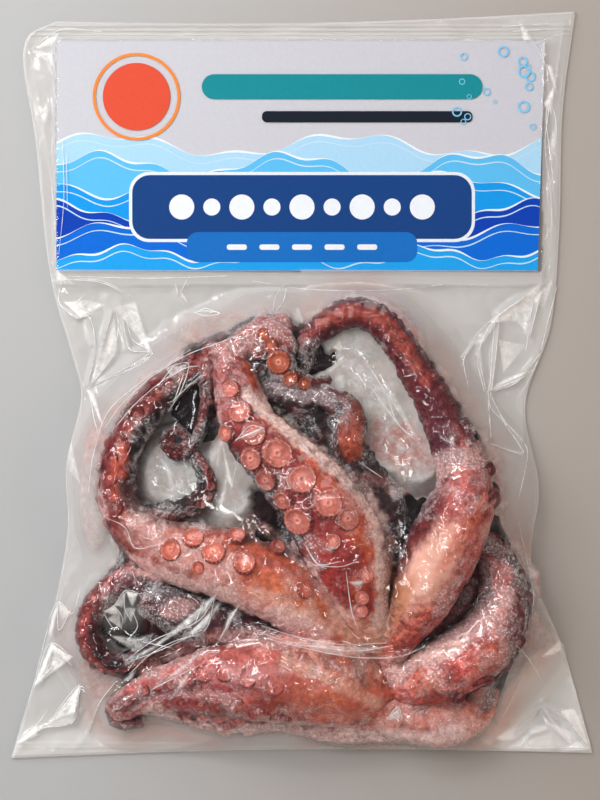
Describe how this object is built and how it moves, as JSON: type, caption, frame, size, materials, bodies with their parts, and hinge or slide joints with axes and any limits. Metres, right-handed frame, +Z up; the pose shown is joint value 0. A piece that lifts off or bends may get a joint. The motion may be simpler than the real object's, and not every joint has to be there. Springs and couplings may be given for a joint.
{
  "type": "bag of frozen cooked octopus",
  "caption": "Clear sealed bag lying flat, holding a frozen tangle of cooked octopus arms with suckers, and a printed header card in its top.",
  "frame": {"origin": "middle of the bag's footprint, at its underside", "axes": "+X across the bag, +Y along it towards the header card, +Z up from the surface it lies on"},
  "size_m": [0.232, 0.298, 0.0364],
  "materials": {
    "octopus": "wet cooked octopus skin, dark reddish purple to salmon pink, with white frost",
    "film": "thin clear glossy polythene film with sharp creases",
    "ice": "cloudy frozen juice",
    "card": "coated card printed in white and blue"
  },
  "bodies": {
    "root": {"sealed_bag": "octopus", "header_card": "card"}
  },
  "joints": []
}
